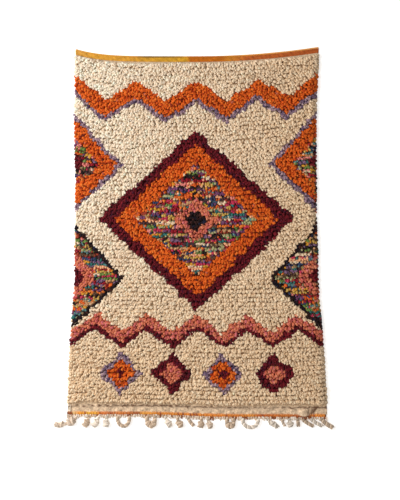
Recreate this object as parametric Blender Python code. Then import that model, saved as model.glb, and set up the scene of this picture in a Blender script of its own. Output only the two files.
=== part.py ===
"""A hand-knotted azilal rug lying flat, its pile upwards.

Metres, +Z up. +Y runs along the warp to the coloured end, +X across it. The origin is under the
middle of the rug's outline, on the surface that it lies on.

The drafting frame has y = 0 on the lower edge of the orange end cord, and x = 0 on the rug's middle
line. The last step moves every piece by the same amount to put the origin where it belongs.
"""

import collections
import math
import random

import bmesh
import bpy
import numpy as np
from mathutils import Vector

# The cloth. LENGTH is measured on the middle line, from the end cord's lower edge to the top edge.
LENGTH = 1.405
GAP = 0.0003
FOUNDATION = 0.004
PILE_TOP = 0.0205
LUMP_RELIEF = 0.0070
HOLLOW_SHARE = 0.35
UNEVEN_SHARE = 0.65
LUMP_PITCH = 0.024
LUMP_JITTER = 0.004
LUMP_SEED = 11

# The depth of each finish along the warp.
END_CORD_DEPTH = 0.013
END_CORD_HEIGHT = 0.009
FLAT_END_DEPTH = 0.029
TOP_BAND_DEPTH = 0.011
TOP_BAND_HEIGHT = 0.0035
TOP_CORD_DEPTH = 0.0065
TOP_CORD_HEIGHT = 0.006
BAR_STATIONS = 44

# The edges. The ends of the rug aren't straight: the top one dips between its corners, the lower
# one steps down to the right, and the flat-woven end buckles up near the right corner.
LEFT_CORNER_RISE = 0.030
LEFT_RISE_POWER = 5
RIGHT_CORNER_RISE = 0.036
RIGHT_RISE_POWER = 2
LOWER_LEFT = 0.0065
LOWER_RIGHT = -0.0035
STEP_START = -0.24
STEP_END = 0.17
BUCKLE_X = 0.420
BUCKLE_LEFT_WIDTH = 0.040
BUCKLE_RIGHT_WIDTH = 0.024
BUCKLE_RISE = 0.007

# The side edges: y is the distance along the warp. The end cord reaches a little past the cloth.
Station = collections.namedtuple("Station", "y left right")
SIDE_EDGES = (
    Station(0.0000, -0.5060, 0.5120),
    Station(0.0130, -0.5060, 0.5120),
    Station(0.0131, -0.5000, 0.5110),
    Station(0.0420, -0.4990, 0.5100),
    Station(0.0760, -0.4950, 0.5090),
    Station(0.1420, -0.4925, 0.5035),
    Station(0.2200, -0.4900, 0.5000),
    Station(0.2980, -0.4850, 0.4935),
    Station(0.3760, -0.4800, 0.4870),
    Station(0.4540, -0.4725, 0.4780),
    Station(0.5320, -0.4690, 0.4745),
    Station(0.6300, -0.4685, 0.4730),
    Station(0.7660, -0.4670, 0.4680),
    Station(0.9200, -0.4655, 0.4675),
    Station(1.0600, -0.4705, 0.4665),
    Station(1.1600, -0.4715, 0.4670),
    Station(1.2340, -0.4670, 0.4700),
    Station(1.4050, -0.4700, 0.4790),
)
HALF_WIDTH = 0.474

# The pile's rim: it bulges out over the foundation, its shoulder is drawn in, and locks stand out.
BULGE = 0.003
BULGE_LEAST = 0.4
BULGE_HEIGHT = 0.0085
SHOULDER = 0.004
SHOULDER_HEIGHT = 0.0145
SHOULDER_UNEVEN = 0.0016
LOCK_SPACING = 2
LOCK_REACH = 0.0075
LOCK_LEAST = 0.6
LOCK_TAPER = 0.45
LOCK_DROP = 0.001

# The fringe: knotted tassels, plain strands, loops and a chain of two big knots, all of warp ends,
# rooted in a narrow strip below the end cord. A loop runs from its root to its tip column, which is
# then its second root.
STRIP_DEPTH = 0.005
STRIP_HEIGHT = 0.006
ROOT_WIDTH = 0.012
ROOT_SHARE = 0.2
CROWN_SHARE = 0.62
HEADING_STEP = 0.02

Tassel = collections.namedtuple("Tassel", "kind root tip reach girth")
TASSELS = (
    Tassel("chain", -0.467, -0.547, 0.033, 1.00),
    Tassel("knot", -0.419, -0.435, 0.040, 1.00),
    Tassel("knot", -0.380, -0.402, 0.040, 1.00),
    Tassel("knot", -0.349, -0.350, 0.041, 1.00),
    Tassel("loop", -0.306, -0.259, 0.038, 1.00),
    Tassel("loop", -0.191, -0.160, 0.038, 1.15),
    Tassel("knot", -0.119, -0.096, 0.037, 0.95),
    Tassel("knot", -0.073, -0.055, 0.037, 1.00),
    Tassel("strand", -0.031, -0.009, 0.032, 0.90),
    Tassel("knot", 0.021, 0.018, 0.037, 1.00),
    Tassel("knot", 0.047, 0.060, 0.038, 0.90),
    Tassel("loop", 0.120, 0.147, 0.032, 1.10),
    Tassel("loop", 0.182, 0.242, 0.033, 1.05),
    Tassel("knot", 0.279, 0.322, 0.031, 0.85),
    Tassel("strand", 0.334, 0.346, 0.028, 0.70),
    Tassel("knot", 0.363, 0.371, 0.030, 1.00),
    Tassel("strand", 0.396, 0.399, 0.029, 0.90),
    Tassel("strand", 0.415, 0.458, 0.029, 0.95),
    Tassel("strand", 0.449, 0.492, 0.028, 0.95),
    Tassel("strand", 0.489, 0.533, 0.034, 1.15),
)

# How far down its reach each kind bends towards its tip, and its cross sections along it.
BENDS = {"knot": 0.45, "strand": 0.30, "chain": 0.90}
Section = collections.namedtuple("Section", "share width height")
SECTIONS = {
    "knot": (
        Section(0.20, 0.0125, 0.0100),
        Section(0.42, 0.0125, 0.0105),
        Section(0.54, 0.0210, 0.0150),
        Section(0.86, 0.0220, 0.0150),
        Section(1.00, 0.0130, 0.0090),
    ),
    "strand": (
        Section(0.22, 0.0125, 0.0100),
        Section(0.50, 0.0130, 0.0110),
        Section(0.80, 0.0150, 0.0125),
        Section(1.00, 0.0120, 0.0090),
    ),
    "chain": (
        Section(0.14, 0.0120, 0.0100),
        Section(0.26, 0.0130, 0.0110),
        Section(0.38, 0.0230, 0.0160),
        Section(0.60, 0.0250, 0.0160),
        Section(0.70, 0.0120, 0.0100),
        Section(0.79, 0.0180, 0.0145),
        Section(0.93, 0.0190, 0.0145),
        Section(1.00, 0.0100, 0.0080),
    ),
    "loop": tuple(Section(s / 8, 0.0130, 0.0110) for s in range(1, 8)),
}

PILE_START = END_CORD_DEPTH + GAP + FLAT_END_DEPTH
PILE_END = LENGTH - TOP_CORD_DEPTH - TOP_BAND_DEPTH - 2 * GAP
ROWS = round((PILE_END - PILE_START) / LUMP_PITCH)
COLUMNS = round(2 * HALF_WIDTH / LUMP_PITCH)

TOP_CORD_CROWN = 0.5
END_CORD_CROWN = 0.6

SMOOTH_ANGLE = math.radians(40)
WOOL_ROUGHNESS = 0.9
COLOURS = {
    "rug_body": (0.72, 0.56, 0.40),
    "top_band": (0.62, 0.22, 0.05),
    "top_cord": (0.66, 0.40, 0.08),
    "end_cord": (0.70, 0.24, 0.04),
    "fringe": (0.74, 0.62, 0.48),
}


def top_edge(x):
    """The y of the rug's top edge at x: level in the middle, rising to each corner."""
    share = min(abs(x) / HALF_WIDTH, 1.0)
    if x < 0:
        return LENGTH + LEFT_CORNER_RISE * share**LEFT_RISE_POWER
    return LENGTH + RIGHT_CORNER_RISE * share**RIGHT_RISE_POWER


def lower_edge(x):
    """The y of the rug's lower edge at x: higher at the left, with a gentle step to the right."""
    share = min(max((x - STEP_START) / (STEP_END - STEP_START), 0.0), 1.0)
    return LOWER_LEFT + (LOWER_RIGHT - LOWER_LEFT) * share**2 * (3.0 - 2.0 * share)


def buckle(x):
    """How far the lower end stands off the floor at x."""
    width = BUCKLE_LEFT_WIDTH if x < BUCKLE_X else BUCKLE_RIGHT_WIDTH
    return BUCKLE_RISE * math.exp(-(((x - BUCKLE_X) / width) ** 2))


def side_edges(along):
    """The x of the left and the right edge, at a distance along the warp."""
    heights = [s.y for s in SIDE_EDGES]
    left = np.interp(along, heights, [s.left for s in SIDE_EDGES])
    right = np.interp(along, heights, [s.right for s in SIDE_EDGES])
    return float(left), float(right)


def rug_point(across, along):
    """The x and y of a point of the cloth: across is 0 to 1, along is metres from the lower edge."""
    left, right = side_edges(along)
    x = left + (right - left) * across
    stretch = (top_edge(x) - lower_edge(x)) / LENGTH
    return x, lower_edge(x) + along * stretch


def finished(name, bm):
    """An object of this name with the shape in bm and its own plain wool material."""
    bmesh.ops.recalc_face_normals(bm, faces=bm.faces)
    mesh_data = bpy.data.meshes.new(name)
    bm.to_mesh(mesh_data)
    bm.free()
    mesh_data.shade_smooth()
    mesh_data.set_sharp_from_angle(angle=SMOOTH_ANGLE)
    material = bpy.data.materials.new(name)
    material.use_nodes = True
    shader = material.node_tree.nodes["Principled BSDF"]
    shader.inputs["Base Color"].default_value = (*COLOURS[name], 1.0)
    shader.inputs["Roughness"].default_value = WOOL_ROUGHNESS
    shader.inputs["Metallic"].default_value = 0.0
    mesh_data.materials.append(material)
    piece = bpy.data.objects.new(name, mesh_data)
    bpy.context.scene.collection.objects.link(piece)
    return piece


def grid_along(j):
    """How far along the warp row j of the pile's grid lies."""
    return PILE_START + (PILE_END - PILE_START) * j / ROWS


def rim_point(i, j, out):
    """A point of the pile's outline, moved outwards by out metres."""
    across = i / COLUMNS
    along = grid_along(j)
    side_step = out / (2 * HALF_WIDTH)
    if i == 0:
        across -= side_step
    if i == COLUMNS:
        across += side_step
    if j == 0:
        along -= out
    if j == ROWS:
        along += out
    return rug_point(across, along)


def rim_cells():
    """The (i, j) of the pile's outline, anticlockwise from the lower left corner."""
    lower = [(i, 0) for i in range(COLUMNS)]
    right = [(COLUMNS, j) for j in range(ROWS)]
    upper = [(i, ROWS) for i in range(COLUMNS, 0, -1)]
    left = [(0, j) for j in range(ROWS, 0, -1)]
    return lower + right + upper + left


def pile_grid(bm, chance):
    """The lumpy upper face of the pile, as rows of points. Every other point is a hollow."""
    grid = []
    for j in range(ROWS + 1):
        row = []
        for i in range(COLUMNS + 1):
            if i in (0, COLUMNS) or j in (0, ROWS):
                x, y = rim_point(i, j, -SHOULDER)
                z = SHOULDER_HEIGHT + chance.uniform(-SHOULDER_UNEVEN, SHOULDER_UNEVEN)
            else:
                x, y = rug_point(i / COLUMNS, grid_along(j))
                x += chance.uniform(-LUMP_JITTER, LUMP_JITTER)
                y += chance.uniform(-LUMP_JITTER, LUMP_JITTER)
                hollow = HOLLOW_SHARE if (i + j) % 2 else 0.0
                z = PILE_TOP - LUMP_RELIEF * (hollow + chance.uniform(0.0, UNEVEN_SHARE))
            row.append(bm.verts.new((x, y, z)))
        grid.append(row)
    for lower, upper in zip(grid, grid[1:]):
        for i in range(COLUMNS):
            bm.faces.new((lower[i], lower[i + 1], upper[i + 1], upper[i]))
    return grid


def wall(bm, lower, upper):
    """Faces between two rings of points of the same length, each closed on itself."""
    made = []
    for k in range(len(lower)):
        n = (k + 1) % len(lower)
        made.append(bm.faces.new((lower[k], lower[n], upper[n], upper[k])))
    return made


def middles(bm, ring):
    """Splits each edge of a closed ring of points, and gives the new points in order."""
    made = []
    for k, vert in enumerate(ring):
        edge = bm.edges.get((vert, ring[(k + 1) % len(ring)]))
        made.append(bmesh.utils.edge_split(edge, vert, 0.5)[1])
    return made


def halved(bm, faces, lower, upper):
    """Cuts each face of a wall in two, upwards through its middle, and gives both halves."""
    lower_middles = middles(bm, lower)
    upper_middles = middles(bm, upper)
    halves = []
    for face, low, high in zip(faces, lower_middles, upper_middles):
        other = bmesh.utils.face_split(face, low, high)[0]
        halves += [face, other]
    return halves


def flat_end(bm, base, ground):
    """The thin flat-woven end below the pile, which buckles at the right, and its underside."""
    upper, under = [], []
    for i in range(COLUMNS + 1):
        x, y = rug_point(i / COLUMNS, END_CORD_DEPTH + GAP)
        upper.append(bm.verts.new((x, y, FOUNDATION + buckle(x))))
        under.append(bm.verts.new((x, y, buckle(x))))
    for i in range(COLUMNS):
        bm.faces.new((upper[i], upper[i + 1], base[i + 1], base[i]))
        bm.faces.new((under[i], under[i + 1], upper[i + 1], upper[i]))
        bm.faces.new((ground[i], ground[i + 1], under[i + 1], under[i]))
    bm.faces.new((ground[0], under[0], upper[0], base[0]))
    bm.faces.new((under[-1], ground[COLUMNS], base[COLUMNS], upper[-1]))


def pull_locks(bm, rim_faces, chance):
    """Draws one face in LOCK_SPACING of the rim out into a blunt lock of pile."""
    tips = bmesh.ops.extrude_discrete_faces(bm, faces=rim_faces[::LOCK_SPACING])["faces"]
    bm.normal_update()
    for tip in tips:
        centre = tip.calc_center_median()
        outwards = Vector((tip.normal.x, tip.normal.y, 0.0)).normalized()
        reach = LOCK_REACH * chance.uniform(LOCK_LEAST, 1.0)
        moved = centre + outwards * reach - Vector((0.0, 0.0, LOCK_DROP))
        for vert in tip.verts:
            vert.co = moved + (vert.co - centre) * LOCK_TAPER


def build_body():
    """The cloth in one piece: knotted pile on its foundation, and the flat-woven lower end."""
    chance = random.Random(LUMP_SEED)
    bm = bmesh.new()
    grid = pile_grid(bm, chance)
    cells = rim_cells()
    shoulder = [grid[j][i] for i, j in cells]
    bulge, base, ground = [], [], []
    for i, j in cells:
        x, y = rim_point(i, j, BULGE * chance.uniform(BULGE_LEAST, 1.0))
        bulge.append(bm.verts.new((x, y, BULGE_HEIGHT)))
        x, y = rim_point(i, j, 0.0)
        base.append(bm.verts.new((x, y, FOUNDATION)))
        ground.append(bm.verts.new((x, y, 0.0)))
    wall(bm, base, bulge)
    rim_faces = wall(bm, bulge, shoulder)
    for k in range(COLUMNS, len(cells)):
        n = (k + 1) % len(cells)
        bm.faces.new((ground[k], ground[n], base[n], base[k]))
    bm.faces.new(list(reversed(ground)))
    flat_end(bm, base, ground)
    pull_locks(bm, halved(bm, rim_faces, bulge, shoulder), chance)
    return finished("rug_body", bm)


def build_bar(name, along, depth, height, lift=None, crown=1.0):
    """A finish that runs the rug's width: a four-sided bar, its lower edge at along."""
    bm = bmesh.new()
    rings = []
    for s in range(BAR_STATIONS + 1):
        across = s / BAR_STATIONS
        x0, y0 = rug_point(across, along)
        x1, y1 = rug_point(across, along + depth)
        rise = lift(x0) if lift else 0.0
        low = Vector((x0, y0, rise))
        high = Vector((x1, y1, rise))
        middle = (low + high) / 2
        up = Vector((0.0, 0.0, height))
        ring = (
            low,
            high,
            middle + (high - middle) * crown + up,
            middle + (low - middle) * crown + up,
        )
        rings.append([bm.verts.new(p) for p in ring])
    for near, far in zip(rings, rings[1:]):
        wall(bm, near, far)
    bm.faces.new(rings[0])
    bm.faces.new(rings[-1])
    return finished(name, bm)


def tassel_ring(bm, centre, heading, width, height, floor):
    """Four points round a strand: right-hand side of its heading first, flat on the floor."""
    side = Vector((heading.y, -heading.x, 0.0)).normalized() * width / 2
    low = Vector((centre.x, centre.y, floor))
    high = low + Vector((0.0, 0.0, height))
    points = (low - side, low + side, high + side * CROWN_SHARE, high - side * CROWN_SHARE)
    return [bm.verts.new(p) for p in points]


def tassel_centre(tassel, share):
    """A point along a tassel, which leaves the strip square and bends to its tip."""
    front = lower_edge(tassel.root) - GAP - STRIP_DEPTH
    start = Vector((tassel.root, front))
    bend = start - Vector((0.0, tassel.reach * BENDS[tassel.kind]))
    end = Vector((tassel.tip, front - tassel.reach))
    return start.lerp(bend, share).lerp(bend.lerp(end, share), share)


def loop_centre(tassel, share):
    """A point along a loop from one root to the other, a half ellipse."""
    middle = (tassel.root + tassel.tip) / 2
    half = (tassel.tip - tassel.root) / 2
    front = lower_edge(middle) - GAP - STRIP_DEPTH
    turn = math.pi * share
    return Vector((middle - half * math.cos(turn), front - tassel.reach * math.sin(turn)))


def strand_rings(bm, tassel):
    """The rings of points along a tassel or loop, without those at its roots."""
    looped = tassel.kind == "loop"
    centre_at = loop_centre if looped else tassel_centre
    rings = []
    for section in SECTIONS[tassel.kind]:
        share = section.share
        ahead = centre_at(tassel, min(share + HEADING_STEP, 1.0))
        heading = ahead - centre_at(tassel, share - HEADING_STEP)
        root_distance = min(share, 1.0 - share) if looped else share
        floor = buckle(tassel.root) / 2 if root_distance < ROOT_SHARE else 0.0
        width = section.width * tassel.girth
        rings.append(tassel_ring(bm, centre_at(tassel, share), heading, width, section.height, floor))
    return rings


def build_fringe():
    """Tassels and loops of warp ends, all rooted in one narrow strip."""
    bm = bmesh.new()
    roots = sorted(x for t in TASSELS for x in ((t.root, t.tip) if t.kind == "loop" else (t.root,)))
    left, right = side_edges(0.0)
    marks = [left] + [r + s * ROOT_WIDTH / 2 for r in roots for s in (-1, 1)] + [right]
    corners = []
    for x in marks:
        back = lower_edge(x) - GAP
        front = back - STRIP_DEPTH
        z = buckle(x)
        corners.append(
            {
                "back_low": bm.verts.new((x, back, z)),
                "back_high": bm.verts.new((x, back, z + STRIP_HEIGHT)),
                "front_low": bm.verts.new((x, front, z)),
                "front_high": bm.verts.new((x, front, z + STRIP_HEIGHT)),
            }
        )
    sides = ("back_low", "front_low", "front_high", "back_high")
    root_rings = {}
    for k, (a, b) in enumerate(zip(corners, corners[1:])):
        for first, second in zip(sides, sides[1:] + sides[:1]):
            at_root = k % 2 == 1 and (first, second) == ("front_low", "front_high")
            if not at_root:
                bm.faces.new((a[first], a[second], b[second], b[first]))
        if k % 2 == 1:
            leaving = [b["front_low"], a["front_low"], a["front_high"], b["front_high"]]
            arriving = [a["front_low"], b["front_low"], b["front_high"], a["front_high"]]
            root_rings[roots[k // 2]] = (leaving, arriving)
    bm.faces.new([corners[0][s] for s in sides])
    bm.faces.new([corners[-1][s] for s in sides])

    for tassel in TASSELS:
        rings = [root_rings[tassel.root][0], *strand_rings(bm, tassel)]
        if tassel.kind == "loop":
            rings.append(root_rings[tassel.tip][1])
        for near, far in zip(rings, rings[1:]):
            wall(bm, near, far)
        if tassel.kind != "loop":
            bm.faces.new(rings[-1])
    return finished("fringe", bm)


def centre_on_origin(pieces):
    """Moves every piece so that the origin is under the middle of the whole outline."""
    corners = [v.co for piece in pieces for v in piece.data.vertices]
    low = [min(c[axis] for c in corners) for axis in range(3)]
    high = [max(c[axis] for c in corners) for axis in range(3)]
    shift = Vector((-(low[0] + high[0]) / 2, -(low[1] + high[1]) / 2, -low[2]))
    for piece in pieces:
        piece.location = shift


def main():
    for old in list(bpy.data.objects):
        bpy.data.objects.remove(old, do_unlink=True)
    top_band_at = PILE_END + GAP
    top_cord_at = top_band_at + TOP_BAND_DEPTH + GAP
    pieces = [
        build_body(),
        build_bar("top_band", top_band_at, TOP_BAND_DEPTH, TOP_BAND_HEIGHT),
        build_bar("top_cord", top_cord_at, TOP_CORD_DEPTH, TOP_CORD_HEIGHT, crown=TOP_CORD_CROWN),
        build_bar("end_cord", 0.0, END_CORD_DEPTH, END_CORD_HEIGHT, lift=buckle, crown=END_CORD_CROWN),
        build_fringe(),
    ]
    centre_on_origin(pieces)


main()
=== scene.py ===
"""The looks of a hand-knotted azilal rug that lies on a pale floor, seen from above.

The pile is made yarn end by yarn end, over a woven ground cloth. The rug's outline is worked out in
the drafting frame of its solids: y = 0 on the lower edge of the orange end cord at the middle line,
x = 0 on that line. SHIFT takes a point from there to the row's own frame. Angles are in degrees.
"""

import math
from collections import namedtuple

import bpy
import numpy as np
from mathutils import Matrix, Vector


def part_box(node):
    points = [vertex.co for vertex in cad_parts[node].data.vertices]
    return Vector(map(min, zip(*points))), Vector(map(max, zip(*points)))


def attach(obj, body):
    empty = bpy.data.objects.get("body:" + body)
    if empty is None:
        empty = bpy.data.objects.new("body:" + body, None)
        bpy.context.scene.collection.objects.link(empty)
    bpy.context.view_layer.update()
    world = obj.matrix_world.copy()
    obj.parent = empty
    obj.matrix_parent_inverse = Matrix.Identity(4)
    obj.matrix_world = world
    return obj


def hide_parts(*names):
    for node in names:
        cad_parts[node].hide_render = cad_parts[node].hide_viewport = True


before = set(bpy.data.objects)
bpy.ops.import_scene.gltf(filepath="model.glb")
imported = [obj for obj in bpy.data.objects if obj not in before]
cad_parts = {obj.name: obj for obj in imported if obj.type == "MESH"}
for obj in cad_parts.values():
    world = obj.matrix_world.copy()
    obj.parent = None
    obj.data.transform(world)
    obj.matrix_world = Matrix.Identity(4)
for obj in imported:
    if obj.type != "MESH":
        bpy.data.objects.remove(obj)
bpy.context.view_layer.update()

# The rug's side edges, as its solids have them: (y, x of the left edge, x of the right edge).
SIDE_EDGES = (
    (0.0, -0.506, 0.512), (0.013, -0.506, 0.512), (0.0131, -0.5, 0.511),
    (0.042, -0.499, 0.51), (0.076, -0.495, 0.509), (0.142, -0.4925, 0.5035),
    (0.22, -0.49, 0.5), (0.298, -0.485, 0.4935), (0.376, -0.48, 0.487),
    (0.454, -0.4725, 0.478), (0.532, -0.469, 0.4745), (0.63, -0.4685, 0.473),
    (0.766, -0.467, 0.468), (0.92, -0.4655, 0.4675), (1.06, -0.4705, 0.4665),
    (1.16, -0.4715, 0.467), (1.234, -0.467, 0.47), (1.405, -0.47, 0.479),
)

# The rug's parts along it and their heights.
LENGTH = 1.405
HALF_WIDTH = 0.474
GAP = 0.0003
FOUNDATION = 0.004
END_CORD_DEPTH = 0.013
END_CORD_HEIGHT = 0.009
FLAT_END_DEPTH = 0.029
TOP_BAND_DEPTH = 0.011
TOP_BAND_HEIGHT = 0.0035
TOP_CORD_DEPTH = 0.0065
TOP_CORD_HEIGHT = 0.006
STRIP_DEPTH = 0.005
STRIP_HEIGHT = 0.006
PILE_START = END_CORD_DEPTH + GAP + FLAT_END_DEPTH
PILE_END = LENGTH - TOP_CORD_DEPTH - TOP_BAND_DEPTH - 2 * GAP
PILE_LENGTH = PILE_END - PILE_START

# The top corners are pulled up along their own curves. The lower edge steps down to the right.
LEFT_CORNER_RISE = 0.03
LEFT_RISE_POWER = 5
RIGHT_CORNER_RISE = 0.036
RIGHT_RISE_POWER = 2
LOWER_LEFT = 0.0065
LOWER_RIGHT = -0.0035
STEP_START = -0.24
STEP_END = 0.17

# Near its lower right corner the rug stands off the floor. The cloth there is rolled down over the
# end cord, up to a slanting fold, whose two sides fall away differently.
BUCKLE_X = 0.42
BUCKLE_WIDTHS = (0.04, 0.024)
BUCKLE_RISE = 0.007
ROLL_START = 0.36
ROLL_TOP = 0.428
ROLL_END = 0.46
ROLL_RISE = 0.0075
ROLL_REACH = 0.0065
FOLD_X = 0.441
FOLD_SLANT = 0.83
FOLD_WIDTHS = (0.019, 0.005)

# The ground cloth: its rows of points, fine in the flat-woven end, and its columns, as shares of the
# width, with more at the left selvage and the fold.
FINE_ROWS = 27
FINE_PAST = 0.003
COARSE_ROWS = 84
COARSE_FROM = 0.014
GROUND_COLUMNS = 200
EXTRA_COLUMNS = (
    0.002, 0.0075, 0.0105, 0.0118, 0.0125, 0.0135, 0.0145, 0.016,
    0.928, 0.932, 0.936, 0.941, 0.944, 0.947, 0.951, 0.955, 0.959, 0.963, 0.967,
)

# The relief of the flat-woven end: ribs, lumps of two sizes, the selvage's lip and the groove beside
# it, and the fold.
RIB_RELIEF = 0.0004
LUMP_RELIEF = 0.0013
LUMP_SIZES = (0.007, 0.016)
LARGE_LUMP_SHARE = 0.8
SELVAGE_WIDTH = 0.0125
LIP_WIDTH = 0.002
LIP_RELIEF = 0.0012
GROOVE_PLACE = 0.001
GROOVE_WIDTH = 0.0012
GROOVE_RELIEF = 0.0012
FOLD_RELIEF = 0.002

END_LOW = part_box("end_cord")[0]
SHIFT = np.array((END_LOW.x - SIDE_EDGES[0][1], END_LOW.y - LOWER_RIGHT, 0.0))

# The fringe. A loop runs from its root to its tip column, which is then its second root.
Tassel = namedtuple("Tassel", "kind root tip reach girth")
TASSELS = [Tassel(*row) for row in (
    ("chain", -0.467, -0.547, 0.033, 1.0), ("knot", -0.419, -0.435, 0.04, 1.0),
    ("knot", -0.38, -0.402, 0.04, 1.0), ("knot", -0.349, -0.35, 0.041, 1.0),
    ("loop", -0.306, -0.259, 0.038, 1.0), ("loop", -0.191, -0.16, 0.038, 1.15),
    ("knot", -0.119, -0.096, 0.037, 0.95), ("knot", -0.073, -0.055, 0.037, 1.0),
    ("strand", -0.031, -0.009, 0.032, 0.9), ("knot", 0.021, 0.018, 0.037, 1.0),
    ("knot", 0.047, 0.06, 0.038, 0.9), ("loop", 0.12, 0.147, 0.032, 1.1),
    ("loop", 0.182, 0.242, 0.033, 1.05), ("knot", 0.279, 0.322, 0.031, 0.85),
    ("strand", 0.334, 0.346, 0.028, 0.7), ("knot", 0.363, 0.371, 0.03, 1.0),
    ("strand", 0.396, 0.399, 0.029, 0.9), ("strand", 0.415, 0.458, 0.029, 0.95),
    ("strand", 0.449, 0.492, 0.028, 0.95), ("strand", 0.489, 0.533, 0.034, 1.15),
)]

# The tassels' necks and loops. A narrow loop has a knot across it.
TASSEL_TUCK = 0.003
NECK_POINTS = 36
NECK_SWELL = (0.92, 1.12)
KNOT_OVERLAP = 0.1
UNKNOTTED_REACH = 0.98
LOOP_POINTS = 48
LOOP_TUCK = 0.002
LOOP_POWER = 0.7
KNOTTED_LOOP = 0.018
TIE_PLACE = 0.72
TIE_HALF_WIDTH = 0.0105
STOUTNESS = {"loop": 1.15, "strand": 1.18}
BENDS = {"knot": 0.45, "strand": 0.3, "chain": 0.9}

# Where the knots are on a tassel, as shares of its way, with each knot's half width.
Knot = namedtuple("Knot", "start end half_width")
KNOTS = {
    "knot": (Knot(0.42, 0.98, 0.0128),),
    "chain": (Knot(0.3, 0.65, 0.015), Knot(0.76, 1.03, 0.0118)),
    "strand": (),
}

# A knot's shape, in shares of its half width and its length, and the turns of wool across it: each
# one's place and slant.
KNOT_POINTS = 20
KNOT_ROUNDING = (0.1, 0.9)
KNOT_POWER = 0.35
KNOT_PLY = 0.5
KNOT_FLATNESS = 0.62
WRAPS = ((0.3, 0.3), (0.68, -0.34))
WRAP_POINTS = 10
WRAP_ARC = (-0.12, 1.12)
WRAP_WIDTH = 0.86
WRAP_RADIUS = 0.3
WRAP_LIGHT = (0.8, 1.1)

# The loose ends below a knot.
LOOSE_ENDS = 5
LOOSE_FROM = 0.85
LOOSE_SPREAD = 0.0035
LOOSE_ROOT_SPREAD = 0.002
LOOSE_REACH = (-0.001, 0.002)
LOOSE_HEIGHT = 0.0016
LOOSE_ARCH = 0.001
LOOSE_POINTS = 8

# A lump of wool below the left end of the cord: its start, bend and end, and half its width.
CORNER_LUMP = ((-0.501, 0.004, 0.004), (-0.497, -0.008, 0.004), (-0.48, -0.007, 0.004))
CORNER_LUMP_HALF_WIDTH = 0.0065
CORNER_LUMP_POINTS = 16

# The photograph's frame: its size in pixels, one pixel's size at the rug, the pixel column of the
# rug's middle line, and the pixel row of the end cord's lower edge on that line.
FRAME_WIDTH = 400
FRAME_HEIGHT = 500
PIXEL = 0.0039
MIDDLE_COLUMN = 196
LOWER_ROW = 416.5
LENS = 100.0
SENSOR = 36.0

# Random draws start from this number. A random field is a sum of waves, whose lengths are multiples
# of its size.
SEED = 7
FIELD_WAVES = 7
WAVE_LENGTHS = (1.4, 3.0)

# The pile's knots, in rows that sway. Their jitter is in shares of a place.
COLUMNS = 150
ROWS = 160
FIRST_PLACE = 0.25
STAGGER = 0.5
ROOT_JITTER = (0.36, 0.24)
ROOT_LIMITS = (0.004, 0.996)
ROOT_START = 0.013
ROOT_END = 0.0055
SPREAD_OUT = 1.006
ROW_SWAY = 0.0022
ROW_SWAY_SIZE = 0.07

# Each two rows keep together, so a furrow shows between pairs. It is shallower here and there, and
# towards the top, where the pile is matted.
ROW_PULL = 0.0021
ROW_TILT = 7
ROW_CALM = 0.4
ROW_CALM_SIZE = 0.12
MATTED = 0.55
MATTED_FROM = 0.95
MATTED_REACH = 0.3

# Each tuft rises from its knot and leans over. Its stations are steps along it.
ROOT_HEIGHT = 0.002
YARN_SIDES = 5
TUFT_STEPS = 16
TUFT_STATIONS = (0, 7, 14, 16)
VISIBLE_STATION = 2
TUFT_SWELL = (0.9, 1.03, 0.98, 0.58)
# Each tuft's wool is lighter above its root, so the root is painted a little darker: painted shade
# deep in the pile.
TUFT_TONE_AND_ROOT_SHADE = (1.0, 1.07, 1.07, 1.07)
MOST_LIGHT = 0.95
LEAST_LIGHT = 0.004
TUFT_LENGTH = 0.021
LENGTH_SPREAD = 0.09
LENGTH_DRIFT = 0.05
LENGTH_DRIFT_SIZE = 0.09
LONGEST = 1.15
TUFT_RADIUS = 0.0046
RADIUS_SPREAD = 0.08
UNEVEN_YARN = (0.9, 1.1)
TUFT_FLATNESS = 0.88
MOST_IN_A_PIECE = 4200

# How the tufts lie: towards the lower end and, low down, to the left, parting here and there and
# along rows. They curl round their headings. Beside the edges they keep together and follow the edge.
LEAN = -95
LOW_LEAN = -18
SIDE_LEAN = 40
LEAN_SPREAD = 40
LEAN_DRIFT = 0.6
LEAN_DRIFT_SIZE = 0.05
LEAN_SCATTER = 0.7
RISE = 78
RISE_SPREAD = 8
LYING = 20
LYING_SPREAD = 11
STEEPEST = 42
PARTING = 10
PARTING_SIZE = 0.018
ROW_PARTING = 20
ROW_PARTING_SIZE = 0.014
ROW_PARTING_STRETCH = 6
CURL_SPREAD = 62
CURL_PIVOT = 0.3
LOW_FROM = 1.2
LOW_REACH = 0.62

# Within these reaches of the edges the tufts lie lower. At the sides they are shorter, at the right
# also painted darker, as painted shade, with some strays of darker wools, and at the lower left they
# hang down a little.
EDGE_REACH = 0.022
EDGE_LEAN = 0.9
EDGE_STAND = -14
EDGE_SHORT = 0.22
RIGHT_REACH = 0.03
RIGHT_STAND = -28
RIGHT_SHORT = 0.24
RIGHT_PAINTED_SHADE = 0.42
EDGE_CALM = 0.75
TOP_REACH = 0.02
HEM_REACH = 0.024
HEM_DROP = 0.004
HEM_DROP_REACH = 0.05
HEM_LYING = -12
STRAY_REACH = 0.008
STRAY_SHARE = 0.45
STRAY_START = 0.34
STRAY_END = 1.0

# How often the weave repeats on the ground cloth and the top band.
WEAVE_PER_METRE = 100

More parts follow.
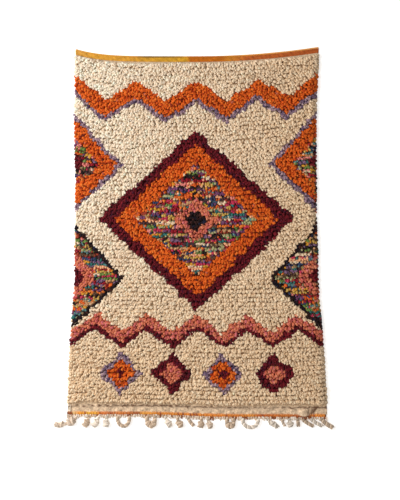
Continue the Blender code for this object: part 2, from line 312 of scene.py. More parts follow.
# Wools: each family is a set of shades, as (red, green, blue) of a colour picker, 0 to 255. Each
# shade is half as common as the one before it, but in the fleck, where all are as common.
FAMILIES = {
    "cream": ((236, 208, 174), (230, 200, 164), (240, 216, 185), (222, 190, 152)),
    "orange": (
        (220, 102, 32), (208, 88, 26), (226, 120, 46), (184, 62, 22), (142, 46, 24), (104, 42, 36),
        (188, 100, 74),
    ),
    "burgundy": ((104, 22, 32), (86, 18, 28), (122, 28, 38), (74, 20, 42), (52, 12, 24)),
    "salmon": ((208, 116, 86), (196, 98, 92), (222, 140, 108), (206, 112, 116), (184, 86, 66)),
    "lilac": ((156, 128, 140), (116, 94, 118), (184, 156, 160), (80, 64, 94)),
    "dark": ((44, 26, 24), (30, 20, 30), (66, 32, 28), (34, 36, 58)),
    "fleck": (
        (216, 98, 40), (206, 148, 52), (222, 132, 122), (190, 54, 84), (150, 30, 44),
        (52, 110, 106), (106, 130, 66), (54, 66, 98), (116, 68, 104), (228, 202, 170),
        (40, 30, 30), (156, 62, 44), (200, 162, 84), (150, 126, 92), (234, 172, 130),
        (94, 132, 132), (170, 166, 120), (122, 92, 120), (100, 72, 54), (196, 148, 106),
        (226, 122, 52), (76, 50, 54),
    ),
}
NAMES = list(FAMILIES)
NEXT_SHARE = 0.5
UNEVEN_DYE = 0.05

# Painted light: the undyed wool is painted paler towards the upper left.
PAINTED_LIGHT_CREAM = (246, 229, 208)
PAINTED_LIGHT_FROM = 0.14
PAINTED_LIGHT_MIDDLE = 0.48
PAINTED_LIGHT_SLOPE = 1.2

# The fleck's rows and, in metres, its runs along a row. Some tufts among them have another colour.
FLECK_ROW = 0.0088
FLECK_RUN = (0.02, 0.085)
FLECK_STRAYS = 0.14
FLECK_MARGIN = 1.2

# The pattern: lozenges and zigzags, painted in this order over a cream ground. Their places are
# metres from the rug's middle line and from the pile's lower edge.
Zigzag = namedtuple("Zigzag", "y rise run depth family")
Lozenge = namedtuple("Lozenge", "x y half_width half_height rings")
GREAT = ((1.0, "burgundy"), (0.85, "orange"), (0.62, "fleck"), (0.24, "salmon"), (0.12, "dark"))
SIDE = ((1.0, "lilac"), (0.87, "orange"), (0.5, "fleck"), (0.18, "burgundy"))
LOW_SIDE = ((1.0, "dark"), (0.9, "fleck"), (0.46, "salmon"), (0.2, "burgundy"))
SMALL = ((1.0, "lilac"), (0.74, "orange"), (0.26, "burgundy"))
PLAIN = ((1.0, "burgundy"), (0.56, "salmon"))
MOTIFS = (
    Zigzag(1.15, 0.08, 0.237, 0.064, "orange"),
    Zigzag(1.108, 0.08, 0.237, 0.022, "lilac"),
    Lozenge(-0.474, 0.93, 0.19, 0.19, SIDE),
    Lozenge(0.474, 0.93, 0.19, 0.19, SIDE),
    Lozenge(-0.474, 0.49, 0.19, 0.2, LOW_SIDE),
    Lozenge(0.474, 0.49, 0.19, 0.2, LOW_SIDE),
    Lozenge(0.0, 0.722, 0.385, 0.35, GREAT),
    Zigzag(0.262, 0.07, 0.19, 0.042, "salmon"),
    Zigzag(0.232, 0.07, 0.19, 0.02, "burgundy"),
    Lozenge(-0.285, 0.122, 0.078, 0.082, SMALL),
    Lozenge(-0.095, 0.122, 0.078, 0.082, PLAIN),
    Lozenge(0.095, 0.122, 0.078, 0.082, SMALL),
    Lozenge(0.285, 0.122, 0.078, 0.082, PLAIN),
)
PATTERN_WOBBLE = 0.004
WOBBLE_SIZE = 0.03

# Colours along the rug: (x, top band, top cord), and (x, end cord).
TOP_STRETCHES = (
    (-0.47, (222, 164, 78), (218, 160, 80)), (-0.4, (228, 166, 62), (226, 166, 64)),
    (-0.24, (222, 160, 58), (218, 156, 62)), (-0.2, (218, 160, 52), (150, 114, 50)),
    (-0.09, (220, 164, 50), (164, 126, 52)), (-0.04, (222, 166, 46), (212, 158, 56)),
    (-0.02, (204, 112, 26), (200, 118, 34)), (0.1, (204, 114, 28), (202, 122, 40)),
    (0.13, (216, 138, 46), (216, 146, 54)), (0.2, (200, 106, 50), (236, 160, 72)),
    (0.47, (188, 94, 44), (236, 170, 98)),
)
END_STRETCHES = (
    (-0.506, (138, 62, 28)), (-0.484, (150, 72, 34)), (-0.48, (232, 180, 128)),
    (-0.462, (228, 154, 92)), (-0.456, (244, 146, 48)), (-0.42, (236, 160, 54)),
    (-0.386, (228, 150, 52)), (-0.376, (220, 112, 48)), (-0.33, (192, 104, 62)),
    (-0.29, (216, 118, 54)), (-0.226, (164, 78, 40)), (-0.206, (226, 146, 62)),
    (-0.15, (222, 128, 48)), (0.17, (218, 120, 46)), (0.22, (230, 140, 58)),
    # Painted shade: from about x 0.395 to 0.44 the end cord is painted darker, beside the roll of
    # cloth.
    (0.245, (196, 92, 38)), (0.35, (214, 116, 46)), (0.395, (170, 84, 42)),
    (0.44, (152, 70, 34)), (0.456, (232, 130, 50)), (0.496, (238, 136, 50)),
    (0.508, (124, 58, 30)),
)
END_TINT = (1.12, 1.34, 1.28)
SPECK_TONE = (166, 78, 40)
SPECK_SHARE = 0.07
STITCH_PALE = (0.6, 0.15, 0.0, 0.1, 0.5)

# The flat-woven end: its tones, and its painted shade: a painted shadow line under the pile's hem,
# and painted shade in the groove and at the fold, with the shade's tone and how dark each is.
FLAT_END_TONE = (235, 206, 174)
SELVAGE_TONE = (248, 230, 206)
PAINTED_SHADE_TONE = (92, 50, 24)
FLAT_END_LIGHT = 0.97
LUMP_LIGHT = 0.17
PAINTED_SHADE_DEPTHS = (0.95, 0.7, 0.9)
HEM_SHADOW_DEPTH = 0.78
HEM_SHADOW_SPREAD = 0.55
HEM_SHADOW_SIZE = 0.012
HEM_SHADOW_DROP = 0.0034
HEM_SHADOW_WAVE = 0.0022
HEM_SHADOW_WIDTH = 0.004

# How far the ground cloth and the stitches run under their neighbours.
TUCK = 0.0015
BAND_TUCK = 0.0045

# The cords. A core runs between two shares of the width, at a share of its cord's height. Its light
# darkens it, as painted shade in the gaps over it. Plies twist round a path, at an offset from it.
Core = namedtuple("Core", "start end points height radius light flat")
END_CORE = Core(0.004, 0.996, 300, 0.36, 0.005, 0.55, 0.62)
TOP_CORE = Core(0.002, 0.998, 440, 0.5, 0.0026, 0.8, 0.9)
ROW_CORE = Core(0.0, 1.0, 300, 0.4, 0.0026, 1.0, 1.0)
Plies = namedtuple("Plies", "radius offset pitch flat")
TOP_PLIES = Plies(0.0023, 0.0012, 0.009, 0.85)
TASSEL_PLIES = Plies(0.0042, 0.003, 0.019, 0.8)
LOOSE_PLIES = Plies(0.0017, 0.0004, 0.02, 1.0)

# The stitches over the end cord's core, between two shares of the width.
STITCH_STATIONS = 5
STITCH_TURNS = 0.6
STITCH_SWELL = (0.8, 0.2)
STITCH_FLATNESS = 0.9
END_STITCH_PITCH = 0.0058
STITCH_SHARES = (0.004, 0.994)
STITCH_JITTER = 0.0008
STITCH_BACK = 0.002
STITCH_ROOT = 0.003
STITCH_RISE = 0.003
STITCH_SLANT = 0.0045
STITCH_FALL = 0.0005
STITCH_RADIUS = 0.0033
STITCH_RADII = (0.8, 1.12)
STITCH_DYE = 0.07

# The top band: its ribs, its wales and its unevenness, and what each of them adds to its height and
# its light. The wales' crests are painted lighter and the hollows between them darker: painted
# light and shade.
BAND_RIBS = 4
RIB_STEPS = 4
BAND_COLUMNS = 320
WALE_WIDTH = 0.007
BAND_UNEVEN_SIZE = 0.01
BAND_GROUND = 0.0016
BAND_RELIEF = (0.001, 0.0006, 0.0002)
BAND_TONE_AND_PAINTED_LIGHT = (0.76, 0.3, 0.12)

# The lumpy row of stitches that the fringe hangs from, and the wisps below it.
ROW_STITCH_PITCH = 0.0066
ROW_MARGINS = (0.003, 0.005)
ROW_JITTER = 0.0012
ROW_OVER = (0.0015, 0.0045)
ROW_HEIGHT = 0.0078
ROW_RISE = 0.0012
ROW_FALL = 0.0056
ROW_SLANT = (0.002, 0.0012)
ROW_RADIUS = 0.0029
ROW_RADII = (0.7, 1.25)
ROW_LIGHT = 1.05
ROW_DARK_SHARE = (0.08, 0.22)
ROW_DARK_TONE = (150, 84, 48)
ROW_CORE_TONE = (240, 196, 156)
ROW_REACH = (0.003, 0.0105)
ROW_WISPS = 90
WISP_MARGINS = (0.006, 0.01)
WISP_ROOT = 0.7
WISP_HEIGHT = 0.0026
WISP_FALL = 0.001
WISP_REACH = (0.004, 0.01)
WISP_SPREAD = 0.004
WISP_BEND = 0.003
WISP_RADIUS = 0.0016
WISP_POINTS = 6

# The tassels' tones, with painted shade that darkens them towards the right.
WARP_LIGHT = (0.94, 1.04)
WARP_SHADE = 0.16
WARP_SHADE_FROM = 0.2
PLY_TONES = (1.12, 0.72, 0.92)
WARP_TONES = ((236, 215, 194), (244, 231, 216), (216, 192, 168))

# The stage.
WORLD_LIGHT = 0.5
WORLD_TONE = (1.0, 0.97, 0.93)
FLOOR_TONE = (0.93, 0.93, 0.93)
FLOOR_GLOW = 0.45
FLOOR_SIZE = 70.0
Lamp = namedtuple("Lamp", "name place size power colour")
LAMPS = (
    Lamp("key", (-2.3, 0.5, 1.7), 2.0, 83.0, (1.0, 0.985, 0.965)),
    Lamp("fill", (2.2, -1.6, 1.8), 1.5, 5.0, (1.0, 0.88, 0.74)),
)


def held(share):
    """A share that is kept between 0 and 1."""
    return np.clip(share, 0, 1)


def top_edge(x):
    """The y of the rug's top edge at each x."""
    share = held(np.abs(x) / HALF_WIDTH)
    left = LEFT_CORNER_RISE * share**LEFT_RISE_POWER
    right = RIGHT_CORNER_RISE * share**RIGHT_RISE_POWER
    return LENGTH + np.where(x < 0, left, right)


def lower_edge(x):
    """The y of the rug's lower edge at each x."""
    share = held((x - STEP_START) / (STEP_END - STEP_START))
    return LOWER_LEFT + (LOWER_RIGHT - LOWER_LEFT) * share**2 * (3.0 - 2.0 * share)


def buckle(x):
    """How far the lower end stands off the floor at each x."""
    width = np.where(x < BUCKLE_X, *BUCKLE_WIDTHS)
    return BUCKLE_RISE * np.exp(-(((x - BUCKLE_X) / width) ** 2))


def rug_point(across, along):
    """The x and y, in the drafting frame, of points given as shares across and metres along."""
    heights, lefts, rights = zip(*SIDE_EDGES)
    left, right = np.interp(along, heights, lefts), np.interp(along, heights, rights)
    x = left + (right - left) * across
    return x, lower_edge(x) + along * (top_edge(x) - lower_edge(x)) / LENGTH


def linear(shade):
    """A colour picker's shade as linear light."""
    c = np.asarray(shade, float) / 255.0
    return np.where(c <= 0.04045, c / 12.92, ((c + 0.055) / 1.055) ** 2.4)


def smooth_field(rng, x, y, size):
    """A soft random field between about -1 and 1, whose features are about size metres."""
    total = np.zeros(np.broadcast(x, y).shape)
    for _ in range(FIELD_WAVES):
        turn = rng.uniform(0, 2 * math.pi)
        wave = 2 * math.pi / (size * rng.uniform(*WAVE_LENGTHS))
        start = rng.uniform(0, 2 * math.pi)
        total += np.sin((x * math.cos(turn) + y * math.sin(turn)) * wave + start)
    return total / math.sqrt(FIELD_WAVES)


def unit(v):
    """Vectors of length one, along the last axis."""
    return v / np.linalg.norm(v, axis=-1, keepdims=True)


def at(x, y, z):
    """Points at these coordinates, which are laid along the last axis."""
    return np.stack(np.broadcast_arrays(x, y, z), -1)


def strand_template(stations, sides, rooted):
    """For one strand: its loops' points, its face sizes, and each loop's place round and along.

    A rooted strand is open at its root, which is hidden in the cloth.
    """
    loops, sizes, around, along = [], [], [], []
    for s in range(stations - 1):
        for k in range(sides):
            n = (k + 1) % sides
            near, far = s * sides, (s + 1) * sides
            loops += [near + k, near + n, far + n, far + k]
            around += [k, k + 1, k + 1, k]
            along += [s, s, s + 1, s + 1]
            sizes.append(4)
    caps = [(stations - 1, range(sides))]
    if not rooted:
        caps.append((0, range(sides - 1, -1, -1)))
    for ring, order in caps:
        loops += [ring * sides + k for k in order]
        around += list(order)
        along += [ring] * sides
        sizes.append(sides)
    return (np.array(a) for a in (loops, sizes, around, along))


def add_strands(store, centres, across, widths, heights, colours, lengths, rooted=False):
    """Adds closed strands of wool to store. centres and across are (strands, stations, 3)."""
    strands, stations = centres.shape[:2]
    ahead = unit(np.gradient(centres, axis=1))
    across = unit(across - ahead * np.sum(across * ahead, axis=-1, keepdims=True))
    upwards = np.cross(ahead, across)
    sides = YARN_SIDES
    turn = 2 * math.pi * np.arange(sides) / sides
    offset = (
        across[:, :, None] * (widths[:, :, None] * np.cos(turn))[..., None]
        + upwards[:, :, None] * (heights[:, :, None] * np.sin(turn))[..., None]
    )
    points = (centres[:, :, None] + offset).reshape(-1, 3)
    shades = np.repeat(colours[:, :, None], sides, axis=2).reshape(-1, 3)
    loops, sizes, around, along = strand_template(stations, sides, rooted)
    first = store["count"] + np.arange(strands)[:, None] * stations * sides
    store["points"].append(points)
    store["shades"].append(shades)
    store["loops"].append((loops[None] + first).ravel())
    store["sizes"].append(np.tile(sizes, strands))
    uv = np.stack([np.broadcast_to(around / sides, (strands, len(around))), lengths[:, along]], -1)
    store["uv"].append(uv.reshape(-1, 2))
    store["count"] += strands * stations * sides


def add_cloth(store, upper, under, shades):
    """Adds a closed layer of cloth. upper and under are (rows, columns, 3), shades likewise."""
    rows, columns = upper.shape[:2]
    index = np.arange(rows * columns).reshape(rows, columns)
    quads = np.stack([index[:-1, :-1], index[:-1, 1:], index[1:, 1:], index[1:, :-1]], -1)
    quads = quads.reshape(-1, 4)
    rim = np.concatenate([index[0, :-1], index[:-1, -1], index[-1, :0:-1], index[:0:-1, 0]])
    after = np.roll(rim, -1)
    under_first = rows * columns
    wall = np.stack([rim + under_first, after + under_first, after, rim], -1)
    faces = np.concatenate([quads, quads[:, ::-1] + under_first, wall])
    store["points"] += [upper.reshape(-1, 3), under.reshape(-1, 3)]
    store["shades"] += [shades.reshape(-1, 3)] * 2
    store["loops"].append(faces.ravel() + store["count"])
    store["sizes"].append(np.full(len(faces), 4))
    places = np.concatenate([upper.reshape(-1, 3)[:, :2]] * 2)
    store["uv"].append(places[faces.ravel()] * WEAVE_PER_METRE)
    store["count"] += 2 * rows * columns


def new_store():
    """An empty store for the points, shades and faces of one piece."""
    return {"points": [], "shades": [], "loops": [], "sizes": [], "uv": [], "count": 0}


def finished(name, store, material):
    """A piece made of everything in store, riding on the rug. Nothing of it is below the floor."""
    points = np.concatenate(store["points"]) + SHIFT
    points[:, 2] = np.maximum(points[:, 2], 0.0)
    loops = np.concatenate(store["loops"])
    sizes = np.concatenate(store["sizes"])
    mesh = bpy.data.meshes.new(name)
    mesh.vertices.add(len(points))
    mesh.vertices.foreach_set("co", points.astype(np.float32).ravel())
    mesh.loops.add(len(loops))
    mesh.loops.foreach_set("vertex_index", loops.astype(np.int32))
    mesh.polygons.add(len(sizes))
    mesh.polygons.foreach_set("loop_start", (np.cumsum(sizes) - sizes).astype(np.int32))
    mesh.update(calc_edges=True)
    mesh.validate()
    layer = mesh.uv_layers.new(name="yarn")
    layer.data.foreach_set("uv", np.concatenate(store["uv"]).astype(np.float32).ravel())
    colour = mesh.color_attributes.new("wool", "FLOAT_COLOR", "POINT")
    rgba = np.ones((len(points), 4), np.float32)
    rgba[:, :3] = np.concatenate(store["shades"])
    colour.data.foreach_set("color", rgba.ravel())
    mesh.shade_smooth()
    mesh.materials.append(material)
    piece = bpy.data.objects.new(name, mesh)
    bpy.context.scene.collection.objects.link(piece)
    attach(piece, "root")
    return piece


def new_material(name):
    """A new material, with its nodes, its links and its shader."""
    material = bpy.data.materials.new(name)
    material.use_nodes = True
    nodes = material.node_tree.nodes
    return material, nodes, material.node_tree.links, nodes["Principled BSDF"]


def wool_material(name, twist, slant, ply, depth, grain=420.0, mottling=(0.88, 1.1)):
    """Handspun wool: the strand's own colour, mottled, with raised twist and fibres.

    twist is how close the raised lines are, slant their angle and ply their share of the relief.
    """
    material, nodes, links, shader = new_material(name)
    shader.inputs["Specular IOR Level"].default_value = 0.12
    shader.inputs["Sheen Weight"].default_value = 0.04
    shader.inputs["Sheen Roughness"].default_value = 0.5

    own = nodes.new("ShaderNodeAttribute")
    own.attribute_name = "wool"
    place = nodes.new("ShaderNodeTexCoord")
    mottle = nodes.new("ShaderNodeTexNoise")
    mottle.inputs["Scale"].default_value = grain
    mottle.inputs["Detail"].default_value = 3.0
    links.new(place.outputs["Object"], mottle.inputs["Vector"])
    shade = nodes.new("ShaderNodeMapRange")
    shade.inputs["From Min"].default_value = 0.3
    shade.inputs["From Max"].default_value = 0.7
    shade.inputs["To Min"].default_value = mottling[0]
    shade.inputs["To Max"].default_value = mottling[1]
    links.new(mottle.outputs["Fac"], shade.inputs["Value"])
    tinted = nodes.new("ShaderNodeVectorMath")
    tinted.operation = "SCALE"
    links.new(own.outputs["Color"], tinted.inputs[0])
    links.new(shade.outputs["Result"], tinted.inputs["Scale"])
    links.new(tinted.outputs["Vector"], shader.inputs["Base Color"])

    rough = nodes.new("ShaderNodeMapRange")
    rough.inputs["To Min"].default_value = 0.84
    rough.inputs["To Max"].default_value = 1.0
    links.new(mottle.outputs["Fac"], rough.inputs["Value"])
    links.new(rough.outputs["Result"], shader.inputs["Roughness"])

    turned = nodes.new("ShaderNodeMapping")
    turned.inputs["Rotation"].default_value = (0.0, 0.0, math.radians(slant))
    turned.inputs["Scale"].default_value = (twist, twist, 1.0)
    links.new(place.outputs["UV"], turned.inputs["Vector"])
    plies = nodes.new("ShaderNodeTexWave")
    plies.inputs["Scale"].default_value = 0.5
    plies.inputs["Distortion"].default_value = 1.2
    links.new(turned.outputs["Vector"], plies.inputs["Vector"])
    weighted = nodes.new("ShaderNodeMath")
    weighted.operation = "MULTIPLY"
    weighted.inputs[1].default_value = ply
    links.new(plies.outputs["Fac"], weighted.inputs[0])
    height = nodes.new("ShaderNodeMath")
    height.operation = "MULTIPLY_ADD"
    height.inputs[1].default_value = 0.45
    links.new(mottle.outputs["Fac"], height.inputs[0])
    links.new(weighted.outputs["Value"], height.inputs[2])
    bump = nodes.new("ShaderNodeBump")
    bump.inputs["Strength"].default_value = 0.7
    bump.inputs["Distance"].default_value = depth
    links.new(height.outputs["Value"], bump.inputs["Height"])
    links.new(bump.outputs["Normal"], shader.inputs["Normal"])
    return material


def pattern(x, y):
    """The number of the wool family at each place of the pile."""
    family = np.full(x.shape, NAMES.index("cream"))
    for motif in MOTIFS:
        if isinstance(motif, Zigzag):
            step = np.abs((x / motif.run) % 1.0 - 0.5) * 2
            away = np.abs(y - motif.y - motif.rise * step)
            family[away < motif.depth / 2] = NAMES.index(motif.family)
            continue
        away = np.abs(x - motif.x) / motif.half_width + np.abs(y - motif.y) / motif.half_height
        for limit, name in motif.rings:
            family[away < limit] = NAMES.index(name)
    return family


def dyed(rng, family, x, y):
    """A colour for each tuft. Flecked wool changes colour in short runs along its row."""
    shades = np.zeros((len(family), 3))
    rows = int(PILE_LENGTH / FLECK_ROW) + 2
    row = np.clip((y / FLECK_ROW).astype(int), 0, rows - 1)
    runs = rng.uniform(*FLECK_RUN, rows)
    starts = rng.uniform(0, FLECK_RUN[1], rows)
    run = ((x + HALF_WIDTH * FLECK_MARGIN + starts[row]) / runs[row]).astype(int)
    for number, name in enumerate(NAMES):
        chosen = np.flatnonzero(family == number)
        choices = linear(FAMILIES[name])
        if name == "fleck":
            table = rng.integers(0, len(choices), (rows, run.max() + 1))
            pick = table[row[chosen], run[chosen]]
            other = rng.random(len(chosen)) < FLECK_STRAYS
            pick[other] = rng.integers(0, len(choices), other.sum())
        else:
            weights = NEXT_SHARE ** np.arange(len(choices))
            pick = rng.choice(len(choices), len(chosen), p=weights / weights.sum())
        shades[chosen] = choices[pick]
    lighter = rng.normal(1.0, UNEVEN_DYE, len(family))[:, None]
    return np.clip(shades * lighter, LEAST_LIGHT, MOST_LIGHT)


def painted_light_share(x, height):
    """How far the undyed wool at each place is painted on its way to the pale cream, 0 to 1: painted
    light.
    """
    along = held((height - PAINTED_LIGHT_FROM) / (PILE_LENGTH - PAINTED_LIGHT_FROM))
    return (1 - (1 - along) ** 2) * held(PAINTED_LIGHT_MIDDLE - PAINTED_LIGHT_SLOPE * x)


def tuft_paths(x, y, azimuth, rise, lying, length, curl):
    """The centres and side directions of tufts that grow from x, y, each (tufts, stations, 3)."""
    point = at(x, y, ROOT_HEIGHT)
    centres, sides = [point], [at(-np.sin(azimuth), np.cos(azimuth), 0.0)]
    for step in range(TUFT_STEPS):
        share = (step + 0.5) / TUFT_STEPS
        up = rise + (lying - rise) * share
        turn = azimuth + curl * (share - CURL_PIVOT)
        way = at(np.cos(up) * np.cos(turn), np.cos(up) * np.sin(turn), np.sin(up))
        point = point + way * (length / TUFT_STEPS)[:, None]
        centres.append(point)
        sides.append(at(-np.sin(turn), np.cos(turn), 0.0))
    stations = list(TUFT_STATIONS)
    return np.stack(centres, 1)[:, stations], np.stack(sides, 1)[:, stations]


def side_rim(across):
    """How far into the rim of either side a place is: 0 within the rug, 1 at its edge."""
    return held(1 - np.minimum(across, 1 - across) * 2 * HALF_WIDTH / EDGE_REACH)


def right_rim(across):
    """How far into the right rim a place is: 0 within the rug, 1 at its edge."""
    return held(1 - (1 - across) * 2 * HALF_WIDTH / RIGHT_REACH)


def tuft_turns(rng, x, y, across, height):
    """How each tuft lies: its heading, its rise at the root and at the tip, and its curl."""
    count = len(x)
    low = held(LOW_FROM - height / LOW_REACH)
    drift = smooth_field(rng, x, y, LEAN_DRIFT_SIZE)
    side = side_rim(across)
    rim = np.maximum(side, held(1 - (PILE_LENGTH - height) / TOP_REACH))
    hem = held(1 - height / HEM_REACH)
    spread = LEAN_SPREAD * (1 - EDGE_CALM * np.maximum(rim, hem))
    lean = LEAN + LOW_LEAN * low + SIDE_LEAN * x / HALF_WIDTH
    lean += spread * (LEAN_DRIFT * drift + LEAN_SCATTER * rng.normal(0, 1, count))
    lean += (LEAN - lean) * np.maximum(side, hem) * EDGE_LEAN
    rise = rng.normal(RISE, RISE_SPREAD, count)
    lying = rng.normal(LYING, LYING_SPREAD, count) + EDGE_STAND * rim + HEM_LYING * hem
    lying += RIGHT_STAND * right_rim(across)
    lying += PARTING * smooth_field(rng, x, y, PARTING_SIZE)
    along_rows = smooth_field(rng, x / ROW_PARTING_STRETCH, y, ROW_PARTING_SIZE)
    lying += ROW_PARTING * (1 + low) / 2 * along_rows
    lying = np.minimum(lying, STEEPEST)
    curl = rng.normal(0, CURL_SPREAD, count)
    return [np.radians(a) for a in (lean, rise, lying, curl)]


def tuft_families(rng, x, y):
    """Each tuft's family of wool, by where its visible end lies in the pattern."""
    wobble = [PATTERN_WOBBLE * smooth_field(rng, x, y, WOBBLE_SIZE) for _ in range(2)]
    family = pattern(x + wobble[0], y + wobble[1])
    beside = (x > HALF_WIDTH - STRAY_REACH) & (y > STRAY_START) & (y < STRAY_END)
    stray = beside & (rng.random(len(x)) < STRAY_SHARE)
    family[stray] = rng.choice([NAMES.index("fleck"), NAMES.index("dark")], stray.sum())
    return family


def pile_tufts():
    """Every tuft of the pile: the arrays that add_strands takes, and each one's family."""
    rng = np.random.default_rng(SEED)
    row, column = (a.ravel() for a in np.mgrid[0:ROWS, 0:COLUMNS])
    count = len(row)
    odd = row % 2
    nudge = rng.uniform(-1, 1, (2, count)) * np.array(ROOT_JITTER)[:, None]
    place = column + FIRST_PLACE + STAGGER * odd + nudge[0]
    across = np.clip(place / COLUMNS, *ROOT_LIMITS)
    rooted_length = PILE_LENGTH - ROOT_START - ROOT_END
    along = PILE_START + ROOT_START + rooted_length * (row + 0.5 + nudge[1]) / ROWS
    matted = MATTED * held((along - MATTED_FROM) / MATTED_REACH)
    calm = ROW_CALM * smooth_field(rng, across, along, ROW_CALM_SIZE)
    paired = (1 - 2 * odd) * (1 - matted - calm)
    along += ROW_PULL * paired + ROW_SWAY * smooth_field(rng, across / 2, along, ROW_SWAY_SIZE)
    height = along - PILE_START
    drop = HEM_DROP * held(1 - 2 * across) * held(1 - height / HEM_DROP_REACH)
    x, y = rug_point(0.5 + (across - 0.5) * SPREAD_OUT, along - drop)

    azimuth, rise, lying, curl = tuft_turns(rng, x, y, across, height)
    lying = np.minimum(lying - math.radians(ROW_TILT) * paired, math.radians(STEEPEST))
    stretch = rng.normal(1.0, LENGTH_SPREAD, count)
    stretch += LENGTH_DRIFT * smooth_field(rng, x, y, LENGTH_DRIFT_SIZE)
    stretch -= EDGE_SHORT * side_rim(across) + RIGHT_SHORT * right_rim(across)
    length = TUFT_LENGTH * np.minimum(stretch, LONGEST)
    radius = TUFT_RADIUS * rng.normal(1.0, RADIUS_SPREAD, count)
    centres, sides = tuft_paths(x, y, azimuth, rise, lying, length, curl)

    reach = centres[:, VISIBLE_STATION, :2] - centres[:, 0, :2]
    seen_x = (across - 0.5) * 2 * HALF_WIDTH + reach[:, 0]
    seen_y = height + reach[:, 1]
    family = tuft_families(rng, seen_x, seen_y)
    shades = dyed(rng, family, seen_x, seen_y)
    # Painted light: the cream tufts are painted paler towards the upper left.
    pale = (painted_light_share(x, height) * (family == NAMES.index("cream")))[:, None]
    shades *= 1 + pale * (linear(PAINTED_LIGHT_CREAM) / linear(FAMILIES["cream"][0]) - 1)
    # Painted shade: the wool along the right rim is painted darker.
    shades *= 1 - RIGHT_PAINTED_SHADE * right_rim(across)[:, None]

    uneven = rng.uniform(*UNEVEN_YARN, (count, len(TUFT_STATIONS)))
    widths = radius[:, None] * np.array(TUFT_SWELL) * uneven
    # Painted shade: each tuft is a little darker towards its root.
    colours = np.clip(shades[:, None] * np.array(TUFT_TONE_AND_ROOT_SHADE)[None, :, None], 0, MOST_LIGHT)
    turns = (length / (2 * math.pi * radius))[:, None]
    lengths = np.array(TUFT_STATIONS)[None] / TUFT_STEPS * turns
    return (centres, sides, widths, widths * TUFT_FLATNESS, colours, lengths), family


def build_pile(material):
    """The pile as pieces of one family of wool each."""
    arrays, family = pile_tufts()
    pieces = []
    for number, name in enumerate(NAMES):
        chosen = np.flatnonzero(family == number)
        parts = np.array_split(chosen, 1 + len(chosen) // MOST_IN_A_PIECE)
        for k, part in enumerate(parts):
            store = new_store()
            add_strands(store, *(a[part] for a in arrays), rooted=True)
            label = f"pile_{name}" if len(parts) == 1 else f"pile_{name}_{k + 1}"
            pieces.append(finished(label, store, material))
    return pieces


def build_ground(material):
    """The woven ground cloth, with the flat-woven end that shows below the pile."""
    rng = np.random.default_rng(SEED + 1)
    fine = np.linspace(END_CORD_DEPTH - TUCK, PILE_START + FINE_PAST, FINE_ROWS)
    coarse = np.linspace(PILE_START + COARSE_FROM, PILE_END - BAND_TUCK, COARSE_ROWS)
    along = np.concatenate([fine, coarse])
    even = np.linspace(0, 1, GROUND_COLUMNS)
    columns = np.sort(np.concatenate([even, EXTRA_COLUMNS]))
    v, u = np.meshgrid(along, columns, indexing="ij")
    x, y = rug_point(u, v)
    lowness = held((PILE_START - v) / FLAT_END_DEPTH)
    off = buckle(x) * lowness
    ribs = RIB_RELIEF * np.where(np.arange(len(along)) % 2, 1, -1)[:, None]
    small, large = (smooth_field(rng, x, y, size) for size in LUMP_SIZES)
    lumps = small + LARGE_LUMP_SHARE * large
    lip = held((SELVAGE_WIDTH - u) / LIP_WIDTH)
    groove = np.exp(-(((u - SELVAGE_WIDTH - GROOVE_PLACE) / GROOVE_WIDTH) ** 2))
    roll = held((x - ROLL_START) / (ROLL_TOP - ROLL_START))
    roll = roll**2 * (3 - 2 * roll) * held((ROLL_END - x) / (ROLL_END - ROLL_TOP))
    fold_x = FOLD_X + FOLD_SLANT * v
    fold_width = np.where(x < fold_x, *FOLD_WIDTHS)
    crease = np.exp(-(((x - fold_x) / fold_width) ** 2))
    relief = ribs + LUMP_RELIEF * lumps + LIP_RELIEF * lip
    relief += ROLL_RISE * roll * lowness - GROOVE_RELIEF * groove - FOLD_RELIEF * crease
    relief[len(fine):] = 0.0
    rolled = y - ROLL_REACH * roll * lowness**2
    upper = at(x, rolled, off + FOUNDATION - RIB_RELIEF + relief)
    under = at(x, y, off)
    family = pattern((u - 0.5) * 2 * HALF_WIDTH, v - PILE_START)
    tones = np.stack([linear(FAMILIES[name]).mean(0) for name in NAMES])
    shades = tones[family]
    flat = v < PILE_START
    own = linear(FLAT_END_TONE) + (linear(SELVAGE_TONE) - linear(FLAT_END_TONE)) * lip[..., None]
    own = own * (FLAT_END_LIGHT + LUMP_LIGHT * lumps)[..., None]
    # Painted shade: a wavy shadow line under the pile's hem, and shade in the groove and in the fold.
    uneven = held(HEM_SHADOW_DEPTH + HEM_SHADOW_SPREAD * smooth_field(rng, x, y, HEM_SHADOW_SIZE))
    drop = HEM_DROP * held(1 - 2 * u)
    below = v - PILE_START + drop + HEM_SHADOW_DROP + HEM_SHADOW_WAVE * lumps
    hem = uneven * np.exp(-((below / HEM_SHADOW_WIDTH) ** 2))
    parts = [share * line for share, line in zip(PAINTED_SHADE_DEPTHS, (hem, groove, crease))]
    dark = np.maximum.reduce(parts)[..., None]
    shades[flat] = (own * (1 - dark) + linear(PAINTED_SHADE_TONE) * dark)[flat]
    store = new_store()
    add_cloth(store, upper, under, shades)
    return finished("ground_cloth", store, material)


